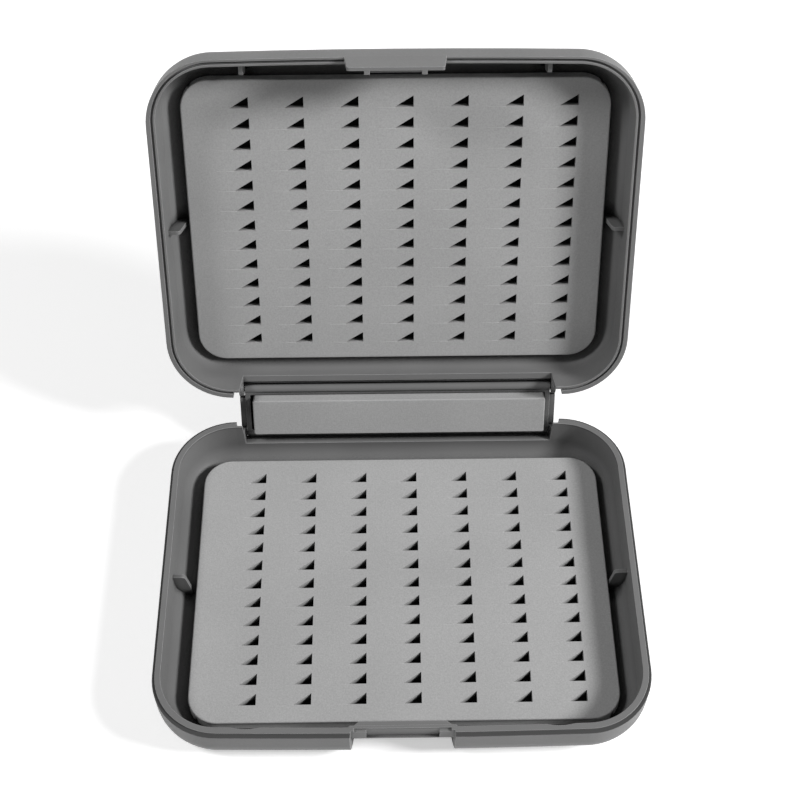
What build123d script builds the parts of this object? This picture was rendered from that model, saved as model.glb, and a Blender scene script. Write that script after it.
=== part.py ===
"""Folding fly box: two moulded half shells joined by a spine with two hinge axes.

Both halves and the spine carry closed-cell foam. A half is modelled lying on its foot: its
foot at z = 0, its rim facing +Z, its hinge side at +Y and its front, with the latch, at -Y.
The base keeps that frame, so the origin of the part is the middle of its underside. The lid
and the spine are then set in their open places, the lid leaning back behind the base.
"""
import os
from math import cos, radians, sin, tan

from build123d import *

os.makedirs("parts", exist_ok=True)

# Driving dimensions of the shells
shell_width = 146.2
shell_length = 112.4
shell_depth = 16.65
closing_gap = 0.3
corner_radius = 20.0
front_bow = 1.0
base_wall, lid_wall = 2.45, 2.8
base_front_wall, lid_front_wall = 3.1, 2.05
floor = 1.8
bottom_radius = 10.3
inside_radius = 6.8
seat_height = 0.7
draft_outside = 1.0
draft_inside = 4.0

# Rim: a groove in the lid, a ledge outside a raised lip on the base
groove_inset, groove_front, groove_width, groove_depth = 1.4, 0.65, 0.75, 0.9
ledge_width, ledge_front, ledge_drop = 0.75, 1.3, 0.45
rim_round = 0.25

# Hinge: two parallel axes, one behind each half, a spine between them
open_angle = 67.9
spine_pitch = 16.86
axis_behind = 1.48
cutout_half, cutout_spread, cutout_depth = 50.45, 0.65, 8.3
notch_width, notch_inset, notch_depth = 2.0, 1.9, 4.0
land_radius, land_reach = 3.0, 12.0
saddle_depth, barrel_gap, slot_inset, slot_depth = 2.9, 0.35, 1.2, 0.8
lug_radius, lug_width = 2.4, 1.4
pin_radius, pin_length, pin_reach = 0.75, 5.4, 1.55
pin_clearance, pin_chamfer = 0.05, 0.15

# Spine: a shallow tray on a wider plate, with a round barrel along each long side
spine_half, flange_half = 50.1, 51.9
barrel_radius = 1.5
flange_inset, flange_bottom, flange_top = 3.0, -1.0, 0.7
tray_rim = 1.2
tray_side = 1.75
tray_end = 1.6
tray_floor = -0.3
seam_width, seam_depth, seam_inset = 0.35, 0.5, 0.2

# Foam, and the adhesive film under it
film = 0.2
film_inset, seat_inset = 2.0, 1.2
pad_width, pad_length, pad_top = 128.4, 93.8, 6.6
pad_radius = 8.9
base_pad_shift, lid_pad_shift = (0.65, 0.45, 0), (0.1, -0.45, 0)
strip_length, strip_width, strip_rise = 95.6, 12.8, 3.95
strip_shift_x, strip_shift_y = 0.4, 0.15
strip_radius = 0.6

# Slits in the foam pads: right triangles in seven columns and thirteen rows
column_pitch, row_pitch = 16.4, 6.6
columns, rows = 7, 13
slit_length, slit_height = 5.35, 3.6
slit_corner_x = 5.2
base_corner_y, lid_corner_y = -1.75, -1.5

# Stiffening ribs inside the walls
rib_thickness = 1.2
rib_top, rib_foot = 12.5, 5.0
rib_reach, rib_end = 6.6, 8.05
rib_round = 1.3
root_inset, root_angle = 1.1, 75.0
front_rib_x = 44.9
scallop_radius, scallop_inset, scallop_depth = 18.0, 2.65, 3.0

# Latch: a flap on the lid's front wall, a recess in the base's front wall
flap_half, flap_length, flap_thickness = 14.65, 9.5, 1.05
flap_taper, flap_corner = 0.85, 0.8
hook_half, hook_bar, hook_inset, hook_height = 8.9, 1.55, 2.2, 3.2
cross_bar = 1.1
recess_mouth, recess_back, recess_depth = 15.2, 14.4, 2.0
pocket_half, pocket_inset = 10.5, 2.8
catch_top, scoop_foot = 12.0, 7.35
block_half, block_step = 14.0, 0.8
bulge_half, bulge_slant, bulge_inset, bulge_drop = 12.7, 2.5, 5.5, 1.2
bulge_knee, bulge_foot, bulge_wide = 10.7, 8.3, 16.4
shelf_half, shelf_inset = 17.1, 3.7

# Alignment of a rectangle that stands on its lower edge
ON_FOOT = (Align.CENTER, Align.MIN)

# Places of the three bodies in the open pose
rear = shell_length / 2
axis_height = shell_depth + closing_gap / 2 - spine_pitch / 2
axis_y = rear + axis_behind
along = Vector(0, cos(radians(open_angle)), sin(radians(open_angle)))
outward = Vector(0, -sin(radians(open_angle)), cos(radians(open_angle)))
base_axis = Vector(0, axis_y, axis_height)
lid_axis = base_axis + along * spine_pitch
lid_origin = lid_axis + along * axis_y - outward * axis_height
lid_place = Plane(origin=lid_origin, x_dir=(-1, 0, 0), z_dir=outward).location
lid_pad_place = Plane(origin=lid_origin, x_dir=(1, 0, 0), z_dir=outward).location
spine_place = Plane(origin=base_axis, x_dir=(1, 0, 0), z_dir=outward).location


def cross_plane(x):
    """Plane of a cross-section at x: its own axes are the half's y and z."""
    return Plane(origin=(x, 0, 0), x_dir=(0, 1, 0), z_dir=(1, 0, 0))


def front_plane(y):
    """Plane parallel to the front wall at y: its own axes are the half's x and z."""
    return Plane(origin=(0, y, 0), x_dir=(1, 0, 0), z_dir=(0, -1, 0))


def rim_outline(height, inset=0, front_inset=0):
    """Rim shape at a height: three straight sides and a slightly bowed front, each inset."""
    half_x = shell_width / 2 - inset
    front = front_inset - shell_length / 2
    with BuildSketch(Plane.XY.offset(height)) as outline:
        with BuildLine():
            Polyline(
                (half_x, front + front_bow),
                (half_x, rear - inset),
                (-half_x, rear - inset),
                (-half_x, front + front_bow),
            )
            ThreePointArc((-half_x, front + front_bow), (0, front), (half_x, front + front_bow))
        make_face()
        fillet(outline.vertices(), radius=corner_radius - inset)
    return outline.sketch


def cavity(wall, front_wall):
    """The hollow of a half: tapered to let it leave the mould, with a rounded foot."""
    with BuildPart() as hollow:
        add(rim_outline(shell_depth, wall, front_wall))
        extrude(amount=floor - shell_depth, taper=draft_inside)
        fillet(hollow.edges().group_by(Axis.Z)[0], radius=inside_radius)
    return hollow.part


def tub(wall, front_wall):
    """A half as a plain tub: rounded foot, flat land for the hinge, tapered cavity."""
    land_y = rear - shell_depth / 2 * tan(radians(draft_outside))
    with BuildPart() as half:
        add(rim_outline(shell_depth))
        extrude(amount=-shell_depth, taper=draft_outside)
        fillet(half.edges().group_by(Axis.Z)[0], radius=bottom_radius)
        with BuildSketch(cross_plane(0)):
            with BuildLine():
                Polyline(
                    (land_y - land_radius, 0),
                    (land_y - land_reach, 0),
                    (land_y - land_reach, shell_depth / 2),
                    (land_y, shell_depth / 2),
                    (land_y, land_radius),
                )
                RadiusArc((land_y, land_radius), (land_y - land_radius, 0), land_radius)
            make_face()
        extrude(amount=cutout_half + lug_width, both=True)
        add(cavity(wall, front_wall), mode=Mode.SUBTRACT)
    return half.part


def root_arc(wall_face):
    """Three points of an arc inside the wall's rounded foot, where inner ribs are rooted."""
    radius = bottom_radius - root_inset
    angles = [radians(degrees) for degrees in (root_angle, root_angle / 2, 0)]
    return [
        (wall_face - bottom_radius + radius * cos(angle), bottom_radius - radius * sin(angle))
        for angle in angles
    ]


def gusset(wall_face):
    """Profile of a rib inside a wall: level top, rounded corner, edge leaning to the foam."""
    root = root_arc(wall_face)
    with BuildSketch() as profile:
        with BuildLine():
            Polyline(
                root[2],
                (wall_face - root_inset, rib_top),
                (wall_face - rib_reach, rib_top),
                (wall_face - rib_end, rib_foot),
                (wall_face - rib_end, root[0][1]),
                root[0],
            )
            ThreePointArc(*root)
        make_face()
        fillet(profile.vertices().sort_by(Axis.Y)[-2:].sort_by(Axis.X)[0], radius=rib_round)
    return profile.sketch


def half_shell(wall, front_wall):
    """The moulding that both halves share: tub, hinge cut-out, lugs and side ribs."""
    hinge_x = cutout_half + lug_width / 2
    with BuildPart() as half:
        add(tub(wall, front_wall))
        # seat that keeps the foam pad off the rounded foot of the walls
        with BuildSketch(Plane.XY.offset(floor)):
            RectangleRounded(pad_width - 2 * seat_inset, pad_length - 2 * seat_inset, pad_radius)
        extrude(amount=seat_height)
        # saddle behind the rear wall
        with BuildSketch(cross_plane(0)):
            with BuildLine():
                Polyline(
                    (rear - wall / 2, axis_height),
                    (axis_y, axis_height),
                    (axis_y, axis_height - saddle_depth),
                    (rear - wall / 2, axis_height - saddle_depth - axis_behind),
                    close=True,
                )
            make_face()
        extrude(amount=cutout_half, both=True)
        # the opening that the spine closes, with slanted ends, and the step beside it
        with BuildSketch(front_plane(axis_y + barrel_radius)):
            with BuildLine():
                Polyline(
                    (-cutout_half, shell_depth - cutout_depth),
                    (cutout_half, shell_depth - cutout_depth),
                    (cutout_half + cutout_spread, shell_depth),
                    (-cutout_half - cutout_spread, shell_depth),
                    close=True,
                )
            make_face()
        extrude(amount=land_reach, mode=Mode.SUBTRACT)
        with BuildSketch(Plane.XY.offset(shell_depth)):
            with Locations((0, rear)):
                Rectangle(2 * (cutout_half + cutout_spread + notch_width), 2 * notch_inset)
        extrude(amount=-notch_depth, mode=Mode.SUBTRACT)
        # slot and hollow that clear the spine's barrel
        with BuildSketch(cross_plane(0)):
            with Locations((axis_y, axis_height)):
                Circle(barrel_radius + barrel_gap)
            with Locations((rear - slot_inset, axis_height - slot_depth)):
                Rectangle(slot_inset + axis_behind, 2 * slot_depth, align=(Align.MIN, Align.MIN))
        extrude(amount=cutout_half, both=True, mode=Mode.SUBTRACT)
        # hinge lugs outside the rear wall, each bored for a pin
        for side in (-1, 1):
            with BuildSketch(cross_plane(side * hinge_x)):
                with Locations((axis_y, axis_height)):
                    Circle(lug_radius)
                with BuildLine():
                    Polyline(
                        (axis_y, axis_height + lug_radius),
                        (rear - wall / 2, axis_height + lug_radius),
                        (rear - wall / 2, axis_height - 2 * lug_radius),
                        (axis_y - lug_radius / 2, axis_height - 2 * lug_radius),
                        (axis_y, axis_height - lug_radius),
                        close=True,
                    )
                make_face()
            extrude(amount=lug_width / 2, both=True)
            with BuildSketch(cross_plane(side * hinge_x)):
                with Locations((axis_y, axis_height)):
                    Circle(pin_radius + pin_clearance)
            extrude(amount=lug_width / 2, both=True, mode=Mode.SUBTRACT)
        # one rib at the middle of each side wall
        for side in (-1, 1):
            facing = Plane(origin=(0, 0, 0), x_dir=(side, 0, 0), z_dir=(0, -side, 0))
            with BuildSketch(facing):
                add(gusset(shell_width / 2))
            extrude(amount=rib_thickness / 2, both=True)
    return half.part


def cut_by_spine(sketch_height):
    """Rectangle over the hinge's opening, where the rim's groove and ledge stop."""
    with BuildSketch(Plane.XY.offset(sketch_height)) as gap:
        with Locations((0, rear)):
            Rectangle(2 * (cutout_half + cutout_spread + notch_width), 2 * land_reach)
    return gap.sketch


def latch_recess():
    """Space cut from the base's front wall: a wedge in plan, sloping back below the catch."""
    front = shell_length / 2
    spread = (recess_mouth - recess_back) / scoop_foot
    with BuildPart() as space:
        with BuildSketch():
            with BuildLine():
                Polyline(
                    (-recess_mouth - spread * recess_depth, -recess_depth - front),
                    (-recess_back, scoop_foot - front),
                    (recess_back, scoop_foot - front),
                    (recess_mouth + spread * recess_depth, -recess_depth - front),
                    close=True,
                )
            make_face()
        extrude(amount=shell_depth)
        with BuildSketch(cross_plane(0)):
            with BuildLine():
                Polyline(
                    (-recess_depth - front, shell_depth),
                    (recess_depth - front, shell_depth),
                    (recess_depth - front, catch_top),
                    (scoop_foot - front, 0),
                    (-recess_depth - front, 0),
                    close=True,
                )
            make_face()
        extrude(amount=shell_width / 2, both=True, mode=Mode.INTERSECT)
    return space.part


def make_base_shell():
    """Base: ledge round the rim, scallops for the lid's ribs, recess and catch for the latch."""
    front = shell_length / 2
    with BuildPart() as shell:
        add(half_shell(base_wall, base_front_wall))
        # ledge outside the raised lip
        with BuildSketch(Plane.XY.offset(shell_depth)):
            add(rim_outline(0))
            add(rim_outline(0, ledge_width, ledge_front), mode=Mode.SUBTRACT)
            add(cut_by_spine(0), mode=Mode.SUBTRACT)
        extrude(amount=-ledge_drop, mode=Mode.SUBTRACT)
        # scallops in the inner edge of the front rim
        bow_there = front_bow * (2 * front_rib_x / shell_width) ** 2
        scallop_y = bow_there + scallop_inset + scallop_radius - front
        with BuildSketch(Plane.XY.offset(shell_depth)):
            with Locations((-front_rib_x, scallop_y), (front_rib_x, scallop_y)):
                Circle(scallop_radius)
        extrude(amount=-scallop_depth, mode=Mode.SUBTRACT)
        # the wall swells inwards behind the latch: a level shelf, then a lower step
        with BuildSketch(Plane.XY.offset(shell_depth)):
            with BuildLine():
                Polyline(
                    (-shelf_half, base_front_wall / 2 - front),
                    (-bulge_half - bulge_slant, shelf_inset - front),
                    (bulge_half + bulge_slant, shelf_inset - front),
                    (shelf_half, base_front_wall / 2 - front),
                    close=True,
                )
            make_face()
        extrude(amount=catch_top - shell_depth)
        with BuildSketch(Plane.XY.offset(shell_depth - bulge_drop)):
            with BuildLine():
                Polyline(
                    (-bulge_half - bulge_slant, base_front_wall / 2 - front),
                    (-bulge_half - bulge_slant, base_front_wall - front),
                    (-bulge_half, bulge_inset - front),
                    (bulge_half, bulge_inset - front),
                    (bulge_half + bulge_slant, base_front_wall - front),
                    (bulge_half + bulge_slant, base_front_wall / 2 - front),
                    close=True,
                )
            make_face()
        extrude(amount=bulge_knee + bulge_drop - shell_depth)
        # below the step the inner face leans back to the foam, behind the finger scoop
        root = root_arc(front)
        with BuildSketch(Plane(origin=(0, 0, 0), x_dir=(0, -1, 0), z_dir=(-1, 0, 0))):
            with BuildLine():
                Polyline(
                    root[2],
                    (front - root_inset, bulge_knee),
                    (front - bulge_inset, bulge_knee),
                    (front - bulge_foot, root[0][1]),
                    root[0],
                )
                ThreePointArc(*root)
            make_face()
        extrude(amount=bulge_wide, both=True)
        # recess for the lid's flap, running down below the catch into a finger scoop
        add(latch_recess(), mode=Mode.SUBTRACT)
        # step at the top of the recess, and the pocket for the hooks over the catch
        with BuildSketch(front_plane(pocket_inset - front)):
            with Locations((0, shell_depth - block_step)):
                Rectangle(2 * block_half, 2 * block_step, align=ON_FOOT)
            with Locations((0, catch_top)):
                Rectangle(2 * pocket_half, shell_depth, align=ON_FOOT)
        extrude(amount=pocket_inset, mode=Mode.SUBTRACT)
    return shell


def make_lid_shell():
    """Lid: grooved rim, two front ribs, and the latch flap with its hook frame."""
    front = shell_length / 2
    flap_top = shell_depth + flap_length
    with BuildPart() as shell:
        add(half_shell(lid_wall, lid_front_wall))
        with BuildSketch(Plane.XY.offset(shell_depth)):
            add(rim_outline(0, groove_inset, groove_front))
            add(
                rim_outline(0, groove_inset + groove_width, groove_front + groove_width),
                mode=Mode.SUBTRACT,
            )
            add(cut_by_spine(0), mode=Mode.SUBTRACT)
        extrude(amount=-groove_depth, mode=Mode.SUBTRACT)
        # two ribs at the front wall
        for side in (-1, 1):
            facing = Plane(origin=(side * front_rib_x, 0, 0), x_dir=(0, -1, 0), z_dir=(-1, 0, 0))
            with BuildSketch(facing):
                add(gusset(front))
            extrude(amount=rib_thickness / 2, both=True)
        # solid wall behind the flap, then the flap as a thin skin flush with the front
        with BuildSketch(Plane.XY.offset(shell_depth)):
            with Locations((0, lid_front_wall / 2 - front)):
                Rectangle(2 * flap_half, lid_front_wall - 2 * rim_round)
        extrude(amount=-groove_depth)
        with BuildSketch(front_plane(-front)) as flap:
            with BuildLine():
                Polyline(
                    (-flap_half, shell_depth - groove_depth),
                    (-flap_half, shell_depth),
                    (-flap_half + flap_taper, flap_top),
                    (flap_half - flap_taper, flap_top),
                    (flap_half, shell_depth),
                    (flap_half, shell_depth - groove_depth),
                    close=True,
                )
            make_face()
            fillet(flap.vertices().sort_by(Axis.Y)[-2:], radius=flap_corner)
        extrude(amount=-flap_thickness)
        # hook frame: two bars and a cross bar inside the flap
        for side in (-1, 1):
            with BuildSketch(cross_plane(side * (hook_half - hook_bar / 2))):
                with BuildLine():
                    Polyline(
                        (flap_thickness / 2 - front, flap_top),
                        (hook_inset - front, flap_top),
                        (hook_inset - front, flap_top - hook_height),
                        (flap_thickness / 2 - front, flap_top - 2 * hook_height),
                        close=True,
                    )
                make_face()
            extrude(amount=hook_bar / 2, both=True)
        with BuildSketch(cross_plane(0)):
            with Locations((flap_thickness / 2 - front, flap_top - hook_height)):
                Rectangle(
                    hook_inset - flap_thickness / 2, cross_bar, align=(Align.MIN, Align.MIN)
                )
        extrude(amount=hook_half - hook_bar / 2, both=True)
    return shell


def make_pad(corner_y):
    """Foam pad with its slits; corner_y places the slit pattern along the pad."""
    with BuildPart() as pad:
        with BuildSketch(Plane.XY.offset(pad_top)):
            RectangleRounded(pad_width, pad_length, pad_radius)
            with Locations((slit_corner_x, corner_y)):
                with GridLocations(column_pitch, row_pitch, columns, rows):
                    Triangle(
                        a=slit_length,
                        b=slit_height,
                        C=90,
                        align=(Align.MAX, Align.MIN),
                        mode=Mode.SUBTRACT,
                    )
        extrude(amount=floor + seat_height + film - pad_top)
    return pad


def make_film(width, length, radius):
    """Adhesive film, a little smaller than the foam that it holds."""
    with BuildPart() as sheet:
        with BuildSketch():
            RectangleRounded(width - 2 * film_inset, length - 2 * film_inset, radius)
        extrude(amount=film)
    return sheet


def make_spine():
    """Spine in its own frame: x along the hinge, y from the base's axis to the lid's."""
    with BuildPart() as tray:
        with BuildSketch(cross_plane(0)):
            with Locations((spine_pitch / 2, (tray_rim - barrel_radius) / 2)):
                Rectangle(spine_pitch, tray_rim + barrel_radius)
            with Locations((0, 0), (spine_pitch, 0)):
                Circle(barrel_radius)
        extrude(amount=spine_half, both=True)
        # flange at each end, between the lugs
        with BuildSketch(cross_plane(0)):
            with Locations((spine_pitch / 2, flange_bottom)):
                Rectangle(
                    spine_pitch - 2 * flange_inset, flange_top - flange_bottom, align=ON_FOOT
                )
        extrude(amount=flange_half, both=True)
        # tray that holds the foam strip
        with BuildSketch(Plane.XY.offset(tray_rim)):
            with Locations((0, spine_pitch / 2)):
                Rectangle(2 * (spine_half - tray_end), spine_pitch - 2 * tray_side)
        extrude(amount=tray_floor - tray_rim, mode=Mode.SUBTRACT)
        # seams between the tray's rim and the barrels
        with BuildSketch(Plane.XY.offset(tray_rim)):
            with Locations((0, seam_inset), (0, spine_pitch - seam_inset)):
                Rectangle(2 * spine_half, seam_width)
        extrude(amount=-seam_depth, mode=Mode.SUBTRACT)
        # bores for the pins
        for side in (-1, 1):
            for axis in (0, spine_pitch):
                end = Plane(origin=(side * spine_half, axis, 0), z_dir=(-side, 0, 0))
                with BuildSketch(end):
                    Circle(pin_radius)
                extrude(amount=pin_length - pin_reach, mode=Mode.SUBTRACT)
    return tray


def make_strip():
    """Foam strip of the spine, standing above the tray's rim."""
    with BuildPart() as strip:
        with BuildSketch(Plane.XY.offset(tray_floor + film)):
            with Locations((strip_shift_x, spine_pitch / 2 + strip_shift_y)):
                Rectangle(strip_length, strip_width)
        extrude(amount=tray_rim + strip_rise - tray_floor - film)
    return strip


def make_pin(side, axis):
    """Steel hinge pin, pressed into the spine and running in a shell's lug."""
    outer_end = spine_half + pin_reach
    with BuildPart() as pin:
        with BuildSketch(Plane(origin=(side * outer_end, axis, 0), z_dir=(-side, 0, 0))):
            Circle(pin_radius)
        extrude(amount=pin_length)
        chamfer(pin.edges(), length=pin_chamfer)
    return pin


def save(solid, node):
    """Label a finished piece and write it."""
    solid.label = node
    export_step(solid, f"parts/{node}.step")


base_pad_place = Location(base_pad_shift)
lid_pad_place = lid_pad_place * Location(lid_pad_shift)

save(make_base_shell().part, "base_shell")
save(make_lid_shell().part.moved(lid_place), "lid_shell")
save(make_spine().part.moved(spine_place), "spine")

save(make_pad(base_corner_y).part.moved(base_pad_place), "base_foam")
save(make_pad(lid_corner_y).part.moved(lid_pad_place), "lid_foam")
save(make_strip().part.moved(spine_place), "spine_foam")

pad_film = make_film(pad_width, pad_length, pad_radius)
strip_film = make_film(strip_length, strip_width, strip_radius)
on_seat = Location((0, 0, floor + seat_height))
save(pad_film.part.moved(base_pad_place * on_seat), "base_film")
save(pad_film.part.moved(lid_pad_place * on_seat), "lid_film")
strip_centre = Location((strip_shift_x, spine_pitch / 2 + strip_shift_y, tray_floor))
save(strip_film.part.moved(spine_place * strip_centre), "spine_film")

for half, axis in (("base", 0), ("lid", spine_pitch)):
    for hand, side in (("left", -1), ("right", 1)):
        save(make_pin(side, axis).part.moved(spine_place), f"{half}_pin_{hand}")
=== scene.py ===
"""An open fly box: two moulded ABS halves on a double hinge, with slit foam inside.

The CAD parts of the frame stay as they are and get their finishes here; the two foam pads and
the foam strip are made again in detail. All sizes are in metres in the frame of the CAD, with
millimetres turned by MM.
"""
from math import cos, pi, radians, sin

import bmesh
import bpy
from mathutils import Euler, Matrix, Vector


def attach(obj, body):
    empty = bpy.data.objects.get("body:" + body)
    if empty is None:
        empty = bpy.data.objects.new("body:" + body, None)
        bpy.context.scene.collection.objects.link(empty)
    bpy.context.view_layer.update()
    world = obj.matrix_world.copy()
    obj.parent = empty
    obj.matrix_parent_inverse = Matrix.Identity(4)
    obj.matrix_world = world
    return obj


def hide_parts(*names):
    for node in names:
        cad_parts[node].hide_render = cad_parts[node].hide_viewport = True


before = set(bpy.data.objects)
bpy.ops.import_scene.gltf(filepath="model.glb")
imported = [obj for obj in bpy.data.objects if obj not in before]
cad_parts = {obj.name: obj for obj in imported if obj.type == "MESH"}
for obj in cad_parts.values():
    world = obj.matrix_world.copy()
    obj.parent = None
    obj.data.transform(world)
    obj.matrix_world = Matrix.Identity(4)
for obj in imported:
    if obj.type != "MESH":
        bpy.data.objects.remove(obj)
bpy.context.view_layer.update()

# Camera.
# A long lens above the latch side, looking down into both trays at about 53 degrees, and
# turned a little to the right.
MM = 0.001
SENSOR_WIDTH, FOCAL_LENGTH = 36, 67.56
CAMERA_PLACE = Vector((-3.39, -238.79, 414.0)) * MM
CAMERA_TILT, CAMERA_TURN = radians(37.336), radians(-0.795)

camera_data = bpy.data.cameras.new("camera")
camera_data.sensor_width = SENSOR_WIDTH
camera_data.lens = FOCAL_LENGTH
camera = bpy.data.objects.new("camera", camera_data)
camera.matrix_world = Matrix.LocRotScale(CAMERA_PLACE, Euler((CAMERA_TILT, 0, CAMERA_TURN)), None)
bpy.context.scene.collection.objects.link(camera)
bpy.context.scene.camera = camera

# Studio.
# A white seamless floor under a dim soft surround, with a broad lamp low to the right and
# a weaker one higher to the left; together they show a colour about as it is written.
FLOOR_HALF, FLOOR_GAP = 3.0, 0.2 * MM
# the floor is seen lifted by half up to 0.3 m from the box, and as plain white from 1.2 m out
LIFT_NEAR, NEAR_REACH, WHITE_REACH = 0.50, 0.3, 1.2
SURROUND_LIGHT = 0.09
LAMP_AIM = Vector((0, 0.04, 0.03))


def linear(hex_colour):
    """An sRGB colour written as #rrggbb, as linear RGBA."""
    channels = [int(hex_colour[i:i + 2], 16) / 255 for i in (1, 3, 5)]
    return [c / 12.92 if c <= 0.04045 else ((c + 0.055) / 1.055) ** 2.4 for c in channels] + [1]


def new_material(name):
    """A material with only its output; returns it with its node tree."""
    material = bpy.data.materials.new(name)
    material.use_nodes = True
    tree = material.node_tree
    tree.nodes.clear()
    tree.nodes.new("ShaderNodeOutputMaterial")
    return material, tree


def node(tree, kind, links=None, **settings):
    """Adds a node; settings are its properties or, as in_NAME, its sockets; links feed it."""
    made = tree.nodes.new(kind)
    for key, value in settings.items():
        if key.startswith("in_"):
            made.inputs[key[3:].replace("_", " ")].default_value = value
        else:
            setattr(made, key, value)
    for socket, source in (links or {}).items():
        tree.links.new(source, made.inputs[socket])
    return made


def end_in(tree, shader):
    """Joins a shader to the tree's output."""
    output = next(n for n in tree.nodes if n.bl_idname.startswith("ShaderNodeOutput"))
    tree.links.new(shader, output.inputs["Surface"])


def seen_directly(tree):
    """1 where the eye meets the surface, straight or in gloss or glass, and 0 where light does."""
    path = node(tree, "ShaderNodeLightPath")
    direct = node(tree, "ShaderNodeMath", operation="ADD",
                  links={0: path.outputs["Is Camera Ray"], 1: path.outputs["Is Transmission Ray"]})
    seen = node(tree, "ShaderNodeMath", operation="ADD", use_clamp=True,
                links={0: direct.outputs[0], 1: path.outputs["Is Glossy Ray"]})
    return seen.outputs[0]


def join_piece(name, mesh):
    """A mesh as an object of the scene."""
    piece = bpy.data.objects.new(name, mesh)
    bpy.context.scene.collection.objects.link(piece)
    return piece


floor_mesh = bpy.data.meshes.new("floor")
floor_mesh.from_pydata(
    [(-FLOOR_HALF, -FLOOR_HALF, 0), (FLOOR_HALF, -FLOOR_HALF, 0),
     (FLOOR_HALF, FLOOR_HALF, 0), (-FLOOR_HALF, FLOOR_HALF, 0)],
    [], [(0, 1, 2, 3)],
)
# white card; the lift keeps the box's shadow on it pale
floor_paint, tree = new_material("studio card")
card = node(tree, "ShaderNodeBsdfDiffuse", in_Color=linear("#f6f6f6"))
coords = node(tree, "ShaderNodeTexCoord")
reach = node(tree, "ShaderNodeVectorMath", operation="LENGTH", links={0: coords.outputs["Object"]})
fade = node(tree, "ShaderNodeMapRange", links={"Value": reach.outputs["Value"]},
            in_From_Min=NEAR_REACH, in_From_Max=WHITE_REACH,
            in_To_Min=LIFT_NEAR, in_To_Max=1.0)
lift = node(tree, "ShaderNodeMath", operation="MULTIPLY",
            links={0: seen_directly(tree), 1: fade.outputs[0]})
glow = node(tree, "ShaderNodeEmission", in_Color=(1, 1, 1, 1),
            links={"Strength": lift.outputs[0]})
paper = node(tree, "ShaderNodeAddShader", links={0: card.outputs[0], 1: glow.outputs[0]})
end_in(tree, paper.outputs[0])
floor_mesh.materials.append(floor_paint)
floor_piece = join_piece("floor", floor_mesh)
floor_piece.location.z = -FLOOR_GAP

bpy.context.scene.view_settings.view_transform = "Standard"

world = bpy.data.worlds.new("soft surround")
world.use_nodes = True
bpy.context.scene.world = world
tree = world.node_tree
tree.nodes.clear()
tree.nodes.new("ShaderNodeOutputWorld")
level = node(tree, "ShaderNodeMapRange", links={"Value": seen_directly(tree)},
             in_To_Min=SURROUND_LIGHT, in_To_Max=1.0)
surround = node(tree, "ShaderNodeBackground", links={"Strength": level.outputs[0]},
                in_Color=(1, 1, 1, 1))
end_in(tree, surround.outputs[0])

for lamp_name, place, size, power in (
    ("key lamp", (1.27, -0.31, 0.93), 0.38, 26.0),
    ("fill lamp", (-0.99, -0.06, 1.27), 0.40, 9.8),
):
    lamp_data = bpy.data.lights.new(lamp_name, "AREA")
    lamp_data.shape = "DISK"
    lamp_data.size = size
    lamp_data.energy = power
    lamp = bpy.data.objects.new(lamp_name, lamp_data)
    lamp.location = place
    aim = LAMP_AIM - lamp.location
    lamp.rotation_euler = aim.to_track_quat("-Z", "Y").to_euler()
    bpy.context.scene.collection.objects.link(lamp)

# Base shell and lid shell.
# Thin half shells of dark grey ABS, injection moulded in a spark-eroded tool, which leaves an
# even, fine matt grain; the rims and corners are a little paler, partly worn by handling and
# partly a painted highlight, and the gutters and one ledge get painted shade.

# the lid and the spine lie tilted in the open box, each in its own frame
OPEN_ANGLE = radians(67.9)
SPINE_PITCH = 16.86 * MM
AXIS_Y, AXIS_Z = 57.68 * MM, 8.37 * MM
along_lid = Vector((0, cos(OPEN_ANGLE), sin(OPEN_ANGLE)))
outward = Vector((0, -sin(OPEN_ANGLE), cos(OPEN_ANGLE)))
spine_origin = Vector((0, AXIS_Y, AXIS_Z))
lid_origin = spine_origin + along_lid * (SPINE_PITCH + AXIS_Y) - outward * AXIS_Z

# heights over the foot of each half, where the rim begins between RIM_START and RIM_FULL
RIM_START, RIM_FULL = 11 * MM, 14 * MM
LEDGE_HEIGHT, LEDGE_BAND = 16.2 * MM, 0.08 * MM
ARRIS_RADIUS, GUTTER_REACH = 0.26 * MM, 5 * MM
GRAIN_PERIOD, FLOW_PERIOD = 0.5 * MM, 25 * MM


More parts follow.
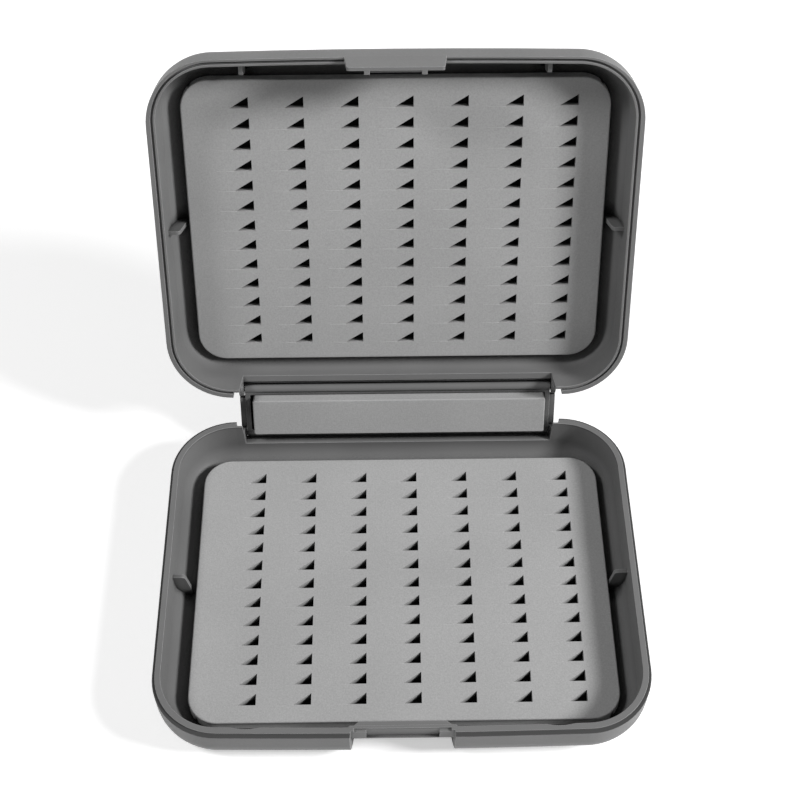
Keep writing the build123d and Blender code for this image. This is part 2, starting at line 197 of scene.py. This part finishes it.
def painted_shade(tree, coords, foot, up, ledge):
    """Painted shade: 1 on open plastic, near 0 deep in the gutters, where shade falls, and low on
    a ledge.

    foot and up are the place and the direction from which the piece's height counts, and
    ledge is the height of a ledge that gets a painted shadow line, or None.
    """
    openness = node(tree, "ShaderNodeAmbientOcclusion", samples=8, in_Distance=GUTTER_REACH)
    # painted shade, darkest where ambient occlusion is lowest
    gutter_shade = node(tree, "ShaderNodeMapRange", links={"Value": openness.outputs["AO"]},
                  interpolation_type="SMOOTHSTEP",
                  in_From_Min=0.42, in_From_Max=0.62, in_To_Min=0.02, in_To_Max=1.0)
    # the painted shade is kept off the rims, grooves and all
    raised = node(tree, "ShaderNodeVectorMath", operation="SUBTRACT",
                  links={0: coords.outputs["Object"]})
    raised.inputs[1].default_value = foot
    height = node(tree, "ShaderNodeVectorMath", operation="DOT_PRODUCT",
                  links={0: raised.outputs["Vector"]})
    height.inputs[1].default_value = up
    rim = node(tree, "ShaderNodeMapRange", links={"Value": height.outputs["Value"]},
               in_From_Min=RIM_START, in_From_Max=RIM_FULL, in_To_Min=0.0, in_To_Max=0.85)
    clear = node(tree, "ShaderNodeMath", operation="MAXIMUM",
                 links={0: gutter_shade.outputs[0], 1: rim.outputs[0]})
    if ledge is None:
        return clear.outputs[0]
    # a painted shadow line along the ledge
    ledge_line = node(tree, "ShaderNodeMath", operation="COMPARE", links={0: height.outputs["Value"]})
    ledge_line.inputs[1].default_value = ledge
    ledge_line.inputs[2].default_value = LEDGE_BAND
    ledge_shadow = node(tree, "ShaderNodeMapRange", links={"Value": ledge_line.outputs[0]},
                   in_To_Min=1.0, in_To_Max=0.35)
    shadowed_ledge = node(tree, "ShaderNodeMath", operation="MULTIPLY",
                  links={0: clear.outputs[0], 1: ledge_shadow.outputs[0]})
    return shadowed_ledge.outputs[0]


def moulded_plastic(name, colour, edge_colour, roughness, foot, up, ledge=None):
    """Grey ABS with an eroded grain, arrises painted paler, partly as wear and partly as a
    highlight, and painted shade in its gutters.
    """
    material, tree = new_material(name)
    coords = node(tree, "ShaderNodeTexCoord")
    # grain of 0.25 mm, coarser than the real 0.05 mm so that it shows
    grain = node(tree, "ShaderNodeTexNoise", links={"Vector": coords.outputs["Object"]},
                 in_Scale=1 / GRAIN_PERIOD, in_Detail=2.0, in_Roughness=0.6)
    # slow drift of tone across 25 mm, from the melt's flow
    flow = node(tree, "ShaderNodeTexNoise", links={"Vector": coords.outputs["Object"]},
                in_Scale=1 / FLOW_PERIOD, in_Detail=1.0)
    drift = node(tree, "ShaderNodeMapRange", links={"Value": flow.outputs["Fac"]},
                 in_From_Min=0.35, in_From_Max=0.65, in_To_Min=0.0, in_To_Max=1.0)
    tone = node(tree, "ShaderNodeMix", data_type="RGBA", links={0: drift.outputs[0]})
    tone.inputs[6].default_value = linear(colour)
    tone.inputs[7].default_value = [c * 1.10 for c in linear(colour)[:3]] + [1]
    # an arris shows where the rounded normal leaves the face's own; its paler colour is partly
    # wear and partly a painted highlight
    arris = node(tree, "ShaderNodeBevel", samples=6, in_Radius=ARRIS_RADIUS)
    face = node(tree, "ShaderNodeNewGeometry")
    turn = node(tree, "ShaderNodeVectorMath", operation="DOT_PRODUCT",
                links={0: arris.outputs[0], 1: face.outputs["Normal"]})
    edge_highlight = node(tree, "ShaderNodeMapRange", links={"Value": turn.outputs["Value"]},
                in_From_Min=0.99, in_From_Max=0.88, in_To_Min=0.0, in_To_Max=0.8)
    pale_edged = node(tree, "ShaderNodeMix", data_type="RGBA",
                   links={0: edge_highlight.outputs[0], 6: tone.outputs[2]})
    pale_edged.inputs[7].default_value = linear(edge_colour)
    # painted shade darkens the colour in the gutters and on the ledge
    shade_factor = painted_shade(tree, coords, foot, up, ledge)
    shaded = node(tree, "ShaderNodeVectorMath", operation="SCALE",
                  links={0: pale_edged.outputs[2], "Scale": shade_factor})
    bump = node(tree, "ShaderNodeBump", in_Strength=0.25, in_Distance=0.02 * MM,
                links={"Height": grain.outputs["Fac"], "Normal": arris.outputs[0]})
    rough = node(tree, "ShaderNodeMapRange", links={"Value": grain.outputs["Fac"]},
                 in_From_Min=0.3, in_From_Max=0.7,
                 in_To_Min=roughness - 0.05, in_To_Max=roughness + 0.06)
    # where shade is painted, the plastic is made rough as well, so that it reflects little there
    dull = node(tree, "ShaderNodeMix", data_type="FLOAT",
                links={0: shade_factor, 3: rough.outputs[0]})
    dull.inputs[2].default_value = 0.95
    plastic = node(tree, "ShaderNodeBsdfPrincipled", in_IOR=1.54,
                   links={"Base Color": shaded.outputs[0], "Roughness": dull.outputs[0],
                          "Normal": bump.outputs[0]})
    plastic.inputs["Specular IOR Level"].default_value = 0.20
    end_in(tree, plastic.outputs[0])
    return material


def finish_part(part, material):
    """Gives a CAD part its material."""
    for material_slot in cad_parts[part].material_slots:
        material_slot.material = material


for part, foot, up, ledge in (
    ("base_shell", Vector((0, 0, 0)), Vector((0, 0, 1)), LEDGE_HEIGHT),
    ("lid_shell", lid_origin, outward, None),
):
    finish_part(part, moulded_plastic(f"ABS with eroded grain, {part}", "#707070", "#b0b0b0",
                                      0.46, foot, up, ledge))

# Spine.
# A shallow tray between two barrels, moulded in the same ABS from a smoother tool, so that it
# is a shade darker and a little glossier.
finish_part("spine", moulded_plastic("ABS with fine finish", "#6a6a6a", "#a6a6a6", 0.40,
                                     spine_origin, outward))

# Hinge pins.
# Four short lengths of drawn steel wire, dull and blackened, with fine lines along their length.
LINE_WIDTH = 0.1 * MM
pin_steel, tree = new_material("blackened steel wire")
coords = node(tree, "ShaderNodeTexCoord")
along = node(tree, "ShaderNodeMapping", links={"Vector": coords.outputs["Object"]},
             in_Scale=(0.05, 1, 1))
lines = node(tree, "ShaderNodeTexNoise", links={"Vector": along.outputs[0]},
             in_Scale=1 / LINE_WIDTH, in_Detail=2.0)
scratch = node(tree, "ShaderNodeMapRange", links={"Value": lines.outputs["Fac"]},
               in_To_Min=0.38, in_To_Max=0.56)
wire = node(tree, "ShaderNodeBsdfPrincipled", in_Base_Color=linear("#4a4a4a"), in_Metallic=1.0,
            links={"Roughness": scratch.outputs[0]})
end_in(tree, wire.outputs[0])
for half in ("base", "lid"):
    for hand in ("left", "right"):
        finish_part(f"{half}_pin_{hand}", pin_steel)

# Adhesive films.
# Thin double-sided tape that holds each foam down: milky white, a little glossy, with the
# cloudy fibres of its tissue showing.
FIBRE_CLOUD = 1.2 * MM
tape, tree = new_material("double-sided tape")
coords = node(tree, "ShaderNodeTexCoord")
fibres = node(tree, "ShaderNodeTexNoise", links={"Vector": coords.outputs["Object"]},
              in_Scale=1 / FIBRE_CLOUD, in_Detail=4.0)
milk = node(tree, "ShaderNodeValToRGB", links={"Fac": fibres.outputs["Fac"]})
milk.color_ramp.elements[0].color = linear("#d6d3c9")
milk.color_ramp.elements[1].color = linear("#e9e7e0")
glue = node(tree, "ShaderNodeBsdfPrincipled", in_Roughness=0.4, in_IOR=1.48,
            links={"Base Color": milk.outputs[0]})
end_in(tree, glue.outputs[0])
for part in ("base", "lid", "spine"):
    finish_part(f"{part}_film", tape)

# Foam pads.
# Closed-cell EVA sheet, 4 mm thick, die-cut to a rounded rectangle. The die leaves sides that
# pull in a little, and punches rows of triangular slits, each with a hairline tail.
PAD_WIDTH, PAD_LENGTH, PAD_RADIUS = 128.4 * MM, 93.8 * MM, 8.9 * MM
PAD_BOTTOM, PAD_TOP = 2.7 * MM, 6.6 * MM
PAD_ROUND_OVER, PAD_PULL_IN = 0.45 * MM, 0.18 * MM
COLUMNS, ROWS = 7, 13
COLUMN_PITCH, ROW_PITCH = 16.4 * MM, 6.6 * MM
SLIT_DEPTH, SLIT_TAIL, TAIL_WIDTH = 3.7 * MM, 5.85 * MM, 0.02 * MM
SLIT_FREE_EDGE = 2.0 * MM
CORNER_STEPS, ROUND_STEPS = 10, 4
CELL_SIZE, MOTTLE_PERIOD, CLOUD_PERIOD = 0.35 * MM, 0.5 * MM, 30 * MM


def closed_cell_foam():
    """Light grey EVA: dull, with fine cells; slits darken with depth, where no light comes, and
    the lips are painted paler as a highlight.
    """
    material, tree = new_material("closed-cell EVA foam")
    coords = node(tree, "ShaderNodeTexCoord")
    # fine cells, as cut open by the skiving knife
    cells = node(tree, "ShaderNodeTexVoronoi", links={"Vector": coords.outputs["Object"]},
                 in_Scale=1 / CELL_SIZE)
    mottle = node(tree, "ShaderNodeTexNoise", links={"Vector": coords.outputs["Object"]},
                  in_Scale=1 / MOTTLE_PERIOD, in_Detail=3.0, in_Roughness=0.65)
    cloud = node(tree, "ShaderNodeTexNoise", links={"Vector": coords.outputs["Object"]},
                 in_Scale=1 / CLOUD_PERIOD, in_Detail=1.0)
    skin = node(tree, "ShaderNodeValToRGB", links={"Fac": mottle.outputs["Fac"]})
    skin.color_ramp.elements[0].position = 0.30
    skin.color_ramp.elements[0].color = linear("#9f9f9f")
    skin.color_ramp.elements[1].position = 0.70
    skin.color_ramp.elements[1].color = linear("#afafaf")
    shade = node(tree, "ShaderNodeMapRange", links={"Value": cloud.outputs["Fac"]},
                 in_From_Min=0.3, in_From_Max=0.7, in_To_Min=0.95, in_To_Max=1.03)
    toned = node(tree, "ShaderNodeVectorMath", operation="SCALE",
                 links={0: skin.outputs[0], "Scale": shade.outputs[0]})
    depth = node(tree, "ShaderNodeAttribute", attribute_name="slit_depth")
    dark = node(tree, "ShaderNodeMapRange", links={"Value": depth.outputs["Fac"]},
                interpolation_type="SMOOTHSTEP",
                in_From_Min=0.2 * MM, in_From_Max=3.2 * MM, in_To_Min=0.0, in_To_Max=1.0)
    # the lip, above the face, is painted paler as a highlight, most where it stands highest, at
    # the tip
    lip_highlight = node(tree, "ShaderNodeMapRange", links={"Value": depth.outputs["Fac"]},
                in_From_Min=0.0, in_From_Max=-0.08 * MM, in_To_Min=0.0, in_To_Max=0.8)
    lit_lips = node(tree, "ShaderNodeMix", data_type="RGBA",
                  links={0: lip_highlight.outputs[0], 6: toned.outputs[0]})
    lit_lips.inputs[7].default_value = linear("#e2e2e2")
    colour = node(tree, "ShaderNodeMix", data_type="RGBA",
                  links={0: dark.outputs[0], 6: lit_lips.outputs[2]})
    colour.inputs[7].default_value = linear("#060606")
    height = node(tree, "ShaderNodeMath", operation="ADD",
                  links={0: cells.outputs["Distance"], 1: mottle.outputs["Fac"]})
    bump = node(tree, "ShaderNodeBump", in_Strength=0.35, in_Distance=0.06 * MM,
                links={"Height": height.outputs[0]})
    foam = node(tree, "ShaderNodeBsdfPrincipled", in_Roughness=0.9, in_IOR=1.45,
                links={"Base Color": colour.outputs[2], "Normal": bump.outputs[0]})
    foam.inputs["Specular IOR Level"].default_value = 0.25
    end_in(tree, foam.outputs[0])
    return material


eva = closed_cell_foam()


def rounded_outline(width, length, radius):
    """Points round a rectangle with rounded corners, anticlockwise."""
    points = []
    for corner, (side_x, side_y) in enumerate(((1, 1), (-1, 1), (-1, -1), (1, -1))):
        centre = Vector((side_x * (width / 2 - radius), side_y * (length / 2 - radius)))
        for step in range(CORNER_STEPS + 1):
            angle = (corner + step / CORNER_STEPS) * pi / 2
            points.append(centre + radius * Vector((cos(angle), sin(angle))))
    return points


def die_cut_block(name, width, length, radius, bottom, top, round_over, pull_in):
    """A foam block: sides that pull in between its faces and a rounded upper edge."""
    middle = (bottom + top) / 2
    # each ring is an outline by its inset and its height, from the lower edge to the top
    rings = [(0.0, bottom), (0.7 * pull_in, bottom + (middle - bottom) * 0.5),
             (pull_in, middle), (0.5 * pull_in, (middle + top) / 2)]
    for step in range(ROUND_STEPS + 1):
        angle = step / ROUND_STEPS * pi / 2
        rings.append((round_over * (1 - cos(angle)), top - round_over * (1 - sin(angle))))
    block = bmesh.new()
    loops = []
    for inset, z in rings:
        outline = rounded_outline(width - 2 * inset, length - 2 * inset, radius - inset)
        loops.append([block.verts.new((p.x, p.y, z)) for p in outline])
    for lower, upper in zip(loops, loops[1:]):
        for i in range(len(lower)):
            j = (i + 1) % len(lower)
            block.faces.new((lower[i], lower[j], upper[j], upper[i]))
    block.faces.new(loops[0][::-1])
    block.faces.new(loops[-1])
    mesh = bpy.data.meshes.new(name)
    block.to_mesh(mesh)
    block.free()
    mesh.materials.append(eva)
    return mesh


def slit_punch(length, height):
    """Punch for one slit: a right triangle with a hairline tail beyond its tip.

    Its right angle is at the origin, on the foam's face, and its tip points to -x.
    """
    outline = [(0, 0), (0, height), (-length, TAIL_WIDTH), (-length - SLIT_TAIL, 0)]
    above = 1.0 * MM
    count = len(outline)
    vertices = [(x, y, -SLIT_DEPTH) for x, y in outline] + [(x, y, above) for x, y in outline]
    faces = [tuple(reversed(range(count))), tuple(range(count, 2 * count))]
    faces += [(i, (i + 1) % count, count + (i + 1) % count, count + i) for i in range(count)]
    mesh = bpy.data.meshes.new("slit_punch")
    mesh.from_pydata(vertices, [], faces)
    mesh.materials.append(eva)
    return mesh


def slit_lip(length):
    """The raised lower lip of a tail: a low ridge, highest at the tip of the slit."""
    far, near = -length - 0.85 * SLIT_TAIL, 0.25 * MM - length
    back, front = -0.02 * MM, -0.20 * MM
    ridge = (back + front) / 2
    foot, low_crest, high_crest = -0.03 * MM, 0.04 * MM, 0.10 * MM
    vertices = [(far, back, foot), (far, front, foot), (far, ridge, low_crest),
                (near, back, foot), (near, front, foot), (near, ridge, high_crest)]
    faces = [(0, 1, 2), (3, 5, 4), (0, 3, 4, 1), (1, 4, 5, 2), (2, 5, 3, 0)]
    mesh = bpy.data.meshes.new("slit_lip")
    mesh.from_pydata(vertices, [], faces)
    mesh.materials.append(eva)
    return mesh


def slit_tree():
    """Geometry nodes: sets the punch and the lip at every slit, and cuts the block."""
    tree = bpy.data.node_groups.new("punched slits", "GeometryNodeTree")
    sockets = tree.interface
    for kind, names in (
        ("Geometry", ("Block",)),
        ("Object", ("Punch", "Lip")),
        ("Float", ("Column Pitch", "Row Pitch", "First X", "First Y", "Top", "Half Width",
                   "Half Length")),
        ("Int", ("Columns", "Rows")),
        ("Material", ("Material",)),
    ):
        for name in names:
            sockets.new_socket(name, in_out="INPUT", socket_type=f"NodeSocket{kind}")
    sockets.new_socket("Foam", in_out="OUTPUT", socket_type="NodeSocketGeometry")
    value = node(tree, "NodeGroupInput").outputs

    # a line of columns, each carrying a line of rows, each carrying the punch
    step_x = node(tree, "ShaderNodeCombineXYZ", links={"X": value["Column Pitch"]})
    start = node(tree, "ShaderNodeCombineXYZ", links={
        "X": value["First X"], "Y": value["First Y"], "Z": value["Top"]})
    step_y = node(tree, "ShaderNodeCombineXYZ", links={"Y": value["Row Pitch"]})
    columns = node(tree, "GeometryNodeMeshLine", mode="OFFSET", links={
        "Count": value["Columns"], "Start Location": start.outputs[0],
        "Offset": step_x.outputs[0]})
    rows = node(tree, "GeometryNodeMeshLine", mode="OFFSET", links={
        "Count": value["Rows"], "Offset": step_y.outputs[0]})
    places = node(tree, "GeometryNodeInstanceOnPoints", links={
        "Points": columns.outputs[0], "Instance": rows.outputs[0]})
    grid = node(tree, "GeometryNodeRealizeInstances", links={"Geometry": places.outputs[0]})
    punch = node(tree, "GeometryNodeObjectInfo", links={"Object": value["Punch"]})
    punches = node(tree, "GeometryNodeInstanceOnPoints", links={
        "Points": grid.outputs[0], "Instance": punch.outputs["Geometry"]})
    solid = node(tree, "GeometryNodeRealizeInstances", links={"Geometry": punches.outputs[0]})
    cut = node(tree, "GeometryNodeMeshBoolean", operation="DIFFERENCE", solver="EXACT",
               links={"Mesh 1": value["Block"], "Mesh 2": solid.outputs[0]})
    lip = node(tree, "GeometryNodeObjectInfo", links={"Object": value["Lip"]})
    lips = node(tree, "GeometryNodeInstanceOnPoints", links={
        "Points": grid.outputs[0], "Instance": lip.outputs["Geometry"]})
    joined = node(tree, "GeometryNodeJoinGeometry")
    for part in (cut, lips):
        tree.links.new(part.outputs[0], joined.inputs[0])
    whole = node(tree, "GeometryNodeRealizeInstances", links={"Geometry": joined.outputs[0]})

    # depth below the skin, kept only where the slits are, so that the sides stay pale
    position = node(tree, "GeometryNodeInputPosition")
    xyz = node(tree, "ShaderNodeSeparateXYZ", links={0: position.outputs[0]})
    below = node(tree, "ShaderNodeMath", operation="SUBTRACT",
                 links={0: value["Top"], 1: xyz.outputs["Z"]})
    inside = []
    for axis, half in (("X", "Half Width"), ("Y", "Half Length")):
        size = node(tree, "ShaderNodeMath", operation="ABSOLUTE", links={0: xyz.outputs[axis]})
        inside.append(node(tree, "ShaderNodeMath", operation="LESS_THAN",
                           links={0: size.outputs[0], 1: value[half]}))
    both = node(tree, "ShaderNodeMath", operation="MULTIPLY",
                links={0: inside[0].outputs[0], 1: inside[1].outputs[0]})
    kept = node(tree, "ShaderNodeMath", operation="MULTIPLY",
                links={0: below.outputs[0], 1: both.outputs[0]})
    marked = node(tree, "GeometryNodeStoreNamedAttribute", data_type="FLOAT", domain="POINT",
                  in_Name="slit_depth",
                  links={"Geometry": whole.outputs[0], "Value": kept.outputs[0]})
    triangles = node(tree, "GeometryNodeTriangulate", links={"Mesh": marked.outputs[0]})
    real = node(tree, "GeometryNodeRealizeInstances", links={"Geometry": triangles.outputs[0]})
    painted = node(tree, "GeometryNodeSetMaterial", links={
        "Geometry": real.outputs[0], "Material": value["Material"]})
    node(tree, "NodeGroupOutput", links={0: painted.outputs[0]})
    return tree


def apply_tree(piece, tree, values):
    """Runs a geometry-nodes tree on a piece with the named inputs and keeps the plain mesh."""
    modifier = piece.modifiers.new(tree.name, "NODES")
    modifier.node_group = tree
    for socket in tree.interface.items_tree:
        if socket.name in values:
            modifier[socket.identifier] = values[socket.name]
    bpy.context.view_layer.update()
    evaluated = piece.evaluated_get(bpy.context.evaluated_depsgraph_get())
    mesh = bpy.data.meshes.new_from_object(evaluated)
    piece.modifiers.clear()
    piece.data = mesh


def tilted(origin):
    """Place of a frame with x along the hinge, y away from it and z out of the foam."""
    turn = Matrix((Vector((1, 0, 0)), along_lid, outward)).transposed()
    return Matrix.Translation(origin) @ turn.to_4x4()


punched = slit_tree()


def slit_pad(name, cad_node, body, place, shift, middle_slit, slit_length, slit_height):
    """Makes one half's pad, cuts its slits and lays it in its half.

    shift is the pad's offset in its half, and middle_slit is the place of the right-angled
    corner of the slit in the middle of the grid.
    """
    block = join_piece(name, die_cut_block(name, PAD_WIDTH, PAD_LENGTH, PAD_RADIUS, PAD_BOTTOM,
                                           PAD_TOP, PAD_ROUND_OVER, PAD_PULL_IN))
    punch_piece = join_piece(f"{name}_punch", slit_punch(slit_length, slit_height))
    lip_piece = join_piece(f"{name}_lip", slit_lip(slit_length))
    apply_tree(block, punched, {
        "Punch": punch_piece, "Lip": lip_piece,
        "Columns": COLUMNS, "Rows": ROWS,
        "Column Pitch": COLUMN_PITCH, "Row Pitch": ROW_PITCH,
        "First X": middle_slit[0] - COLUMN_PITCH * (COLUMNS - 1) / 2,
        "First Y": middle_slit[1] - ROW_PITCH * (ROWS - 1) / 2,
        "Top": PAD_TOP,
        "Half Width": PAD_WIDTH / 2 - SLIT_FREE_EDGE,
        "Half Length": PAD_LENGTH / 2 - SLIT_FREE_EDGE,
        "Material": eva,
    })
    bpy.data.objects.remove(punch_piece)
    bpy.data.objects.remove(lip_piece)
    block.data.transform(place @ Matrix.Translation((*shift, 0)))
    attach(block, body)
    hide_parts(cad_node)


slit_pad(
    "base_pad", "base_foam", "base", Matrix.Identity(4),
    shift=(0.65 * MM, 0.45 * MM), middle_slit=(5.2 * MM, -1.75 * MM),
    slit_length=5.2 * MM, slit_height=3.75 * MM,
)
slit_pad(
    "lid_pad", "lid_foam", "lid", tilted(lid_origin),
    shift=(0.10 * MM, -0.45 * MM), middle_slit=(5.3 * MM, -1.50 * MM),
    slit_length=5.6 * MM, slit_height=3.5 * MM,
)

# Foam strip.
# The same EVA sheet, cut as a plain bar and pressed into the tray of the spine.
STRIP_LENGTH, STRIP_WIDTH, STRIP_RADIUS = 95.6 * MM, 12.8 * MM, 0.7 * MM
STRIP_BOTTOM, STRIP_TOP = -0.1 * MM, 5.15 * MM
STRIP_ROUND_OVER, STRIP_PULL_IN = 0.4 * MM, 0.12 * MM
STRIP_SHIFT = (0.4 * MM, SPINE_PITCH / 2 + 0.15 * MM, 0)
strip_mesh = die_cut_block("spine_strip", STRIP_LENGTH, STRIP_WIDTH, STRIP_RADIUS, STRIP_BOTTOM,
                           STRIP_TOP, STRIP_ROUND_OVER, STRIP_PULL_IN)
strip_mesh.transform(tilted(spine_origin) @ Matrix.Translation(STRIP_SHIFT))
strip = join_piece("spine_strip", strip_mesh)
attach(strip, "spine")
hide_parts("spine_foam")
